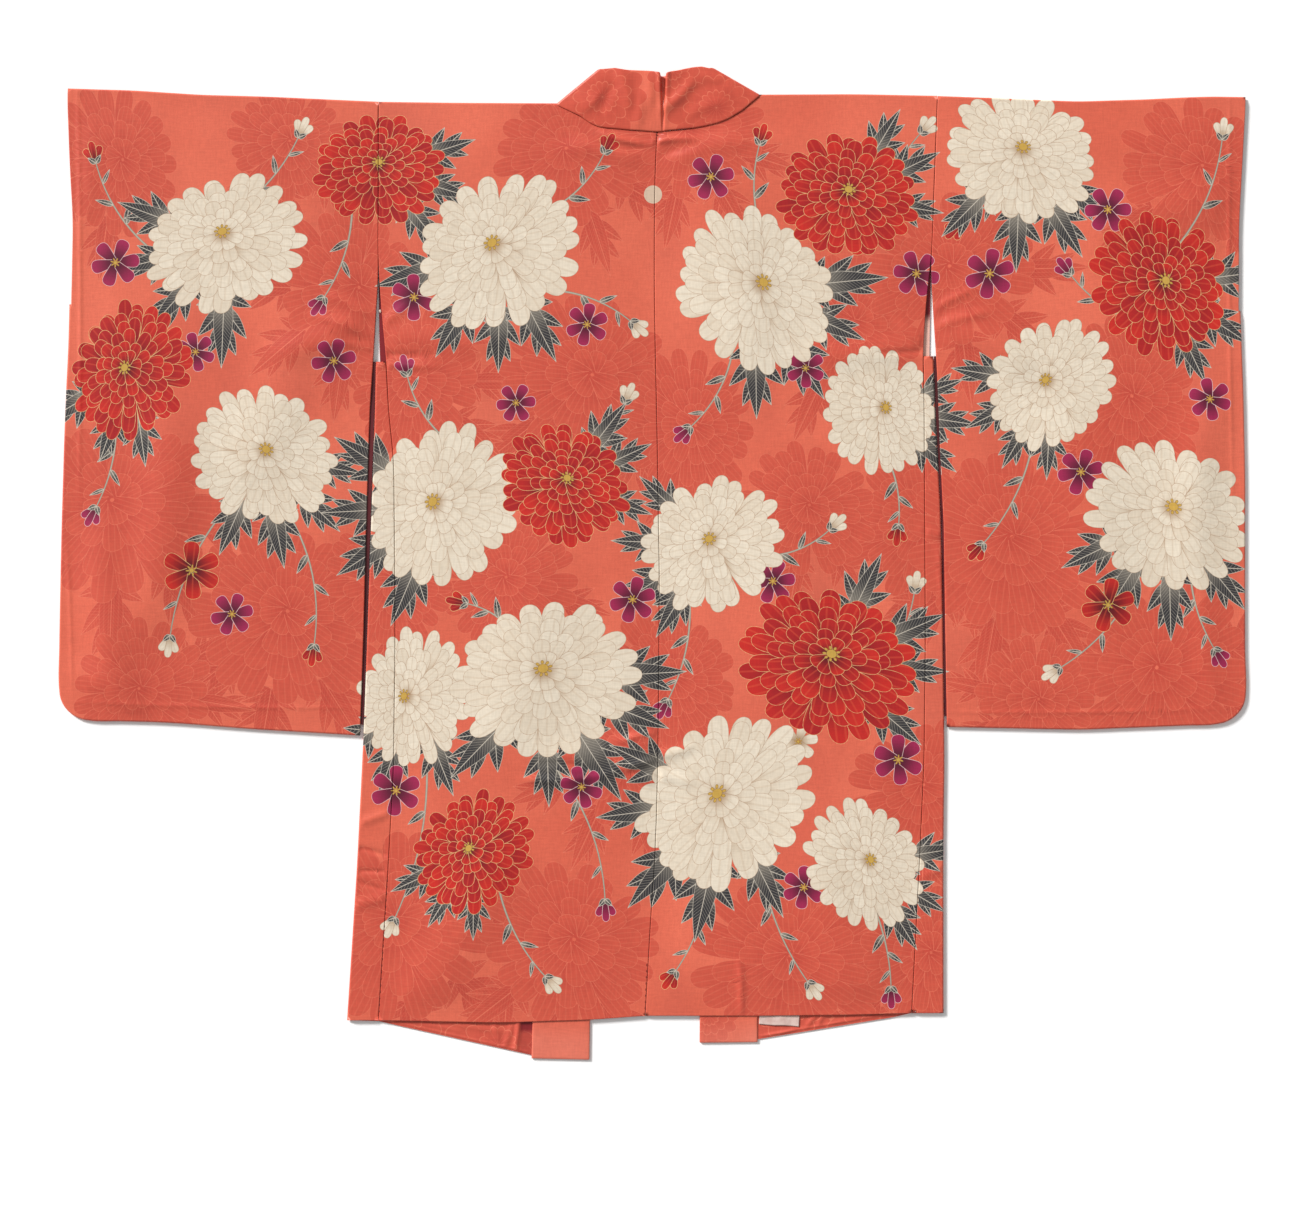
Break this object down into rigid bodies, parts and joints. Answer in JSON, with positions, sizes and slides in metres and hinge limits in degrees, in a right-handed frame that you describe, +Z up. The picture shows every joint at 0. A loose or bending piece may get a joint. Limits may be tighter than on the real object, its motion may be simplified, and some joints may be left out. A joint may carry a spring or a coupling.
{
  "type": "long-sleeved haori (silk kimono jacket, ordered as a furisode kimono) laid flat, back up",
  "caption": "Long-sleeved silk haori jacket laid flat with its back up, painted flowers and leaves on a coral ground.",
  "frame": {"origin": "middle of the laid-out garment's outline, on the surface it lies on", "axes": "+X towards the wearer's right sleeve, +Y from the hem to the collar, +Z up off the surface"},
  "size_m": [1.3046, 1.092, 0.0086],
  "materials": {
    "silk": "smooth figured silk with a soft sheen, painted and dyed",
    "collar_silk": "smooth figured silk with a soft sheen, dyed tone on tone",
    "lining_silk": "plain red silk, matt",
    "label_tape": "woven cotton tape, matt, blank"
  },
  "bodies": {
    "root": {"body_left": "silk", "body_right": "silk", "sleeve_left": "silk", "sleeve_right": "silk", "gusset_left": "silk", "gusset_right": "silk", "collar": "collar_silk", "lining_left": "lining_silk", "lining_right": "lining_silk", "label": "label_tape"}
  },
  "joints": []
}
